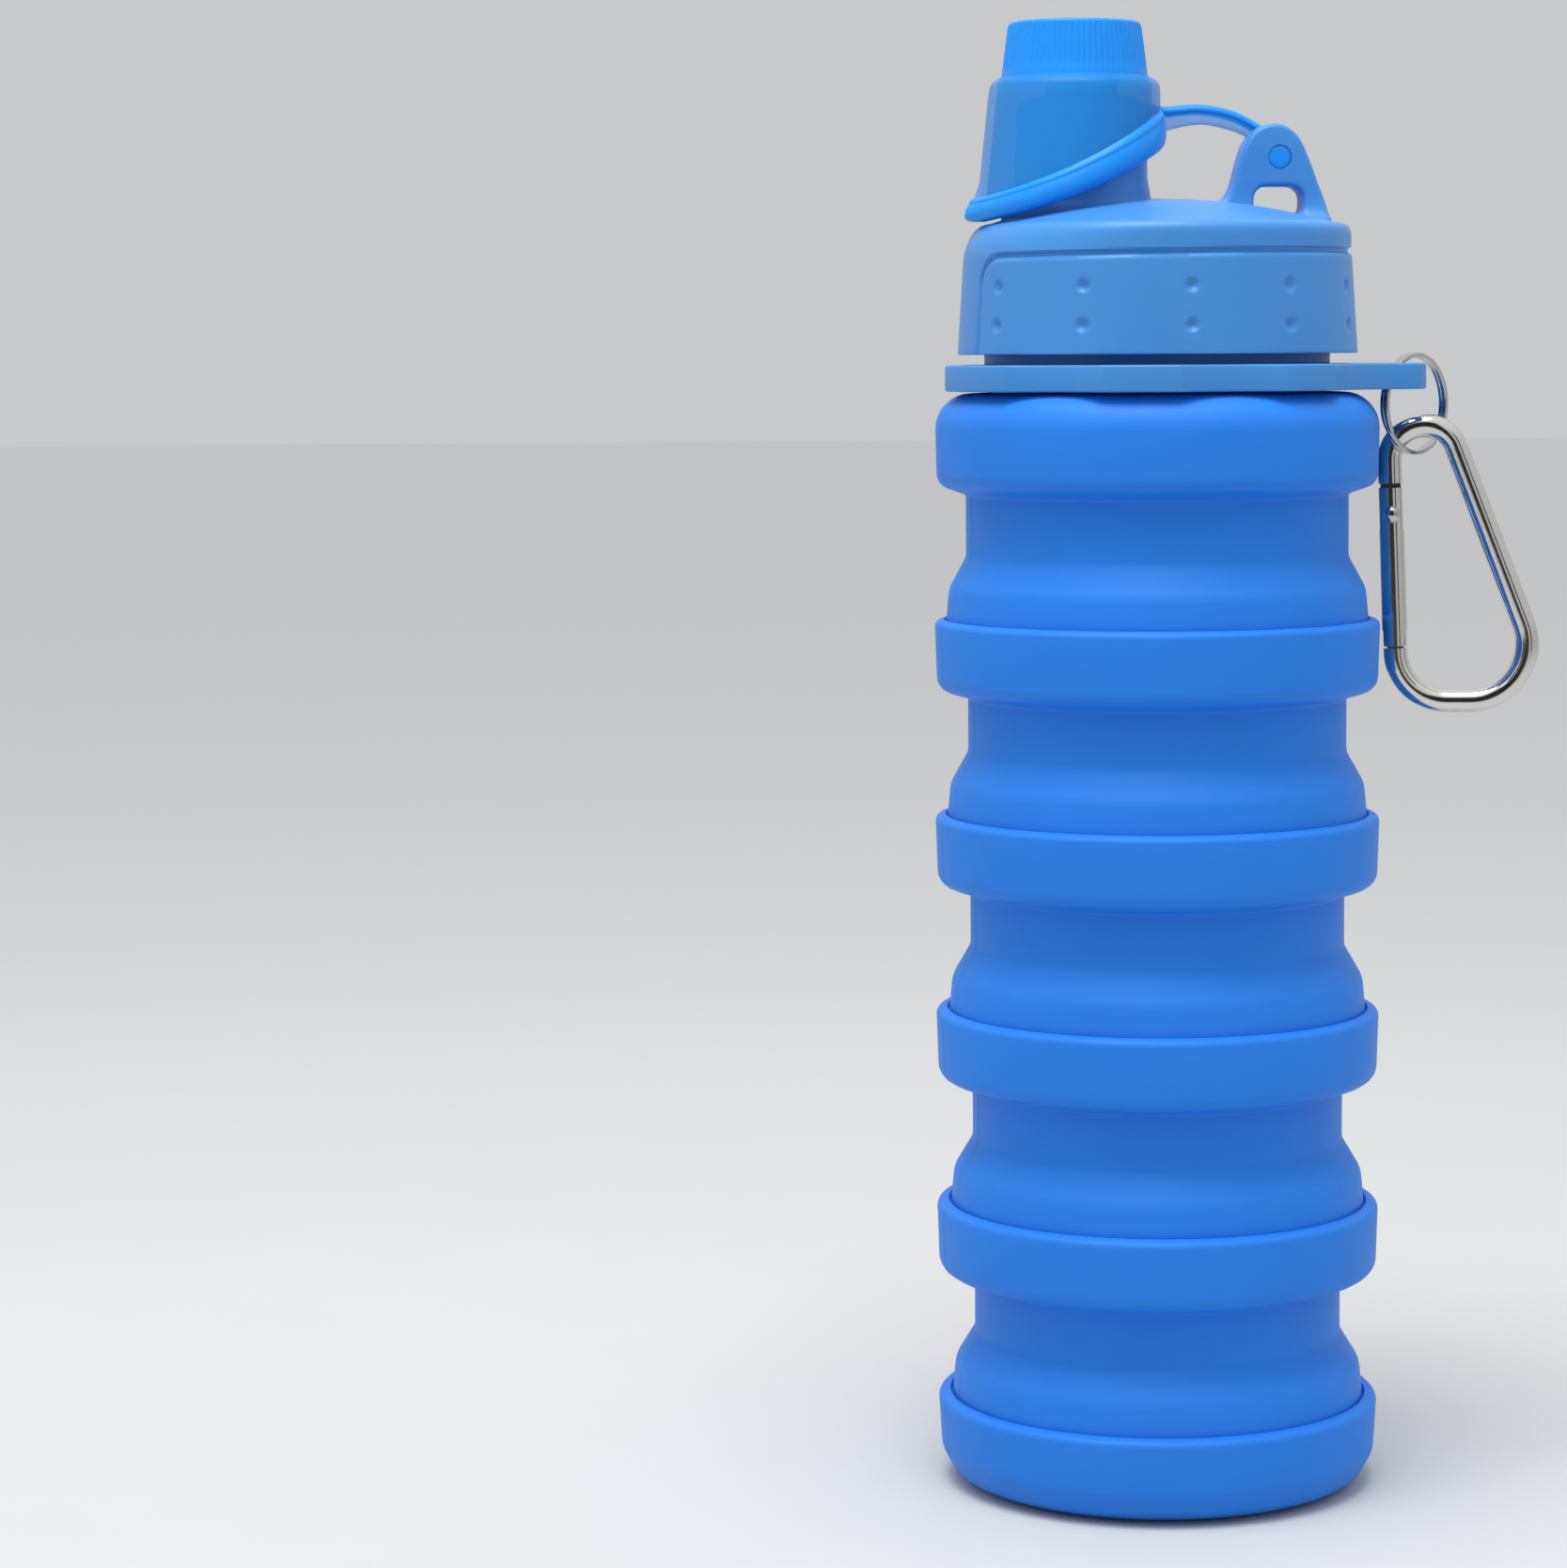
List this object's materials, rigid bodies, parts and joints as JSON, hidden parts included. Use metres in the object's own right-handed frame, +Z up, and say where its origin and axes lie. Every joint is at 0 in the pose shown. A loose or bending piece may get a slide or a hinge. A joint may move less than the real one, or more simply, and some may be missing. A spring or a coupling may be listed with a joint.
{
  "type": "folding water bottle",
  "caption": "Folding silicone bellows water bottle with a screw lid, capped spout on a strap, carry loop, split ring and mini carabiner.",
  "frame": {"origin": "centre of the bottle's flat foot, with the bottle pulled out to full height", "axes": "+Z up the bottle's axis, the spout towards -X and the lid's carry loop towards +X"},
  "size_m": [0.0954, 0.0704, 0.231],
  "materials": {
    "silicone": "satin silicone",
    "hard_plastic": "semi-matt moulded polypropylene",
    "cap_plastic": "translucent tinted, soft gloss",
    "mouthpiece_silicone": "soft silicone",
    "gasket_rubber": "soft white silicone",
    "steel": "bright nickel plate",
    "aluminium": "polished"
  },
  "bodies": {
    "base": {"base_cup": "silicone", "fold_web_5": "silicone"},
    "section_4": {"ring_section_4": "silicone", "fold_web_4": "silicone"},
    "section_3": {"ring_section_3": "silicone", "fold_web_3": "silicone"},
    "section_2": {"ring_section_2": "silicone", "fold_web_2": "silicone"},
    "section_1": {"ring_section_1": "silicone", "fold_web_1": "silicone"},
    "shoulder": {"shoulder_section": "silicone", "neck_collar": "hard_plastic"},
    "gasket": {"lid_gasket": "gasket_rubber"},
    "lid": {"lid_shell": "hard_plastic", "spout_nozzle": "mouthpiece_silicone"},
    "dust_cap": {"dust_cap": "cap_plastic"},
    "key_ring": {"key_ring": "steel"},
    "carabiner": {"carabiner_frame": "aluminium"},
    "gate": {"carabiner_gate": "aluminium", "gate_rivet": "steel", "gate_spring": "steel", "gate_plunger": "steel"}
  },
  "joints": [
    {"name": "fold_5", "type": "slide", "parent": "base", "child": "section_4", "axis": [0, 0, 1], "range_m": [-0.019, 0], "deforming": ["fold_web_5"]},
    {"name": "fold_4", "type": "slide", "parent": "section_4", "child": "section_3", "axis": [0, 0, 1], "range_m": [-0.019, 0], "deforming": ["fold_web_4"]},
    {"name": "fold_3", "type": "slide", "parent": "section_3", "child": "section_2", "axis": [0, 0, 1], "range_m": [-0.019, 0], "deforming": ["fold_web_3"]},
    {"name": "fold_2", "type": "slide", "parent": "section_2", "child": "section_1", "axis": [0, 0, 1], "range_m": [-0.019, 0], "deforming": ["fold_web_2"]},
    {"name": "fold_1", "type": "slide", "parent": "section_1", "child": "shoulder", "axis": [0, 0, 1], "range_m": [-0.019, 0], "deforming": ["fold_web_1"]},
    {"name": "lid_lift", "type": "slide", "parent": "shoulder", "child": "gasket", "axis": [0, 0, 1], "range_m": [0, 0.0242]},
    {"name": "lid_turn", "type": "hinge", "parent": "gasket", "child": "lid", "pos_m": [0, 0, 0.19], "axis": [0, 0, 1], "range_deg": [0, 1440]},
    {"name": "cap_flip", "type": "hinge", "parent": "lid", "child": "dust_cap", "pos_m": [0.0191, 0, 0.21], "axis": [0, 1, 0], "range_deg": [0, 165]},
    {"name": "ring_swing", "type": "hinge", "parent": "shoulder", "child": "key_ring", "pos_m": [0.03945, -0.004, 0.17565], "axis": [0.6428, -0.766, 0], "range_deg": [0, 100]},
    {"name": "carabiner_swing", "type": "hinge", "parent": "key_ring", "child": "carabiner", "pos_m": [0.04074, -0.00291, 0.1635], "axis": [-0.766, -0.6428, 0], "range_deg": [0, 80]},
    {"name": "gate_open", "type": "hinge", "parent": "carabiner", "child": "gate", "pos_m": [0.03722, -0.00229, 0.1538], "axis": [-0.1736, -0.9848, 0], "range_deg": [0, 25], "stiffness_Nm_per_rad": 0.01, "springref_deg": -17.19}
  ],
  "couplings": [
    {"joint": "lid_lift", "follows": "lid_turn", "m_per_rad": 0.00095493}
  ]
}
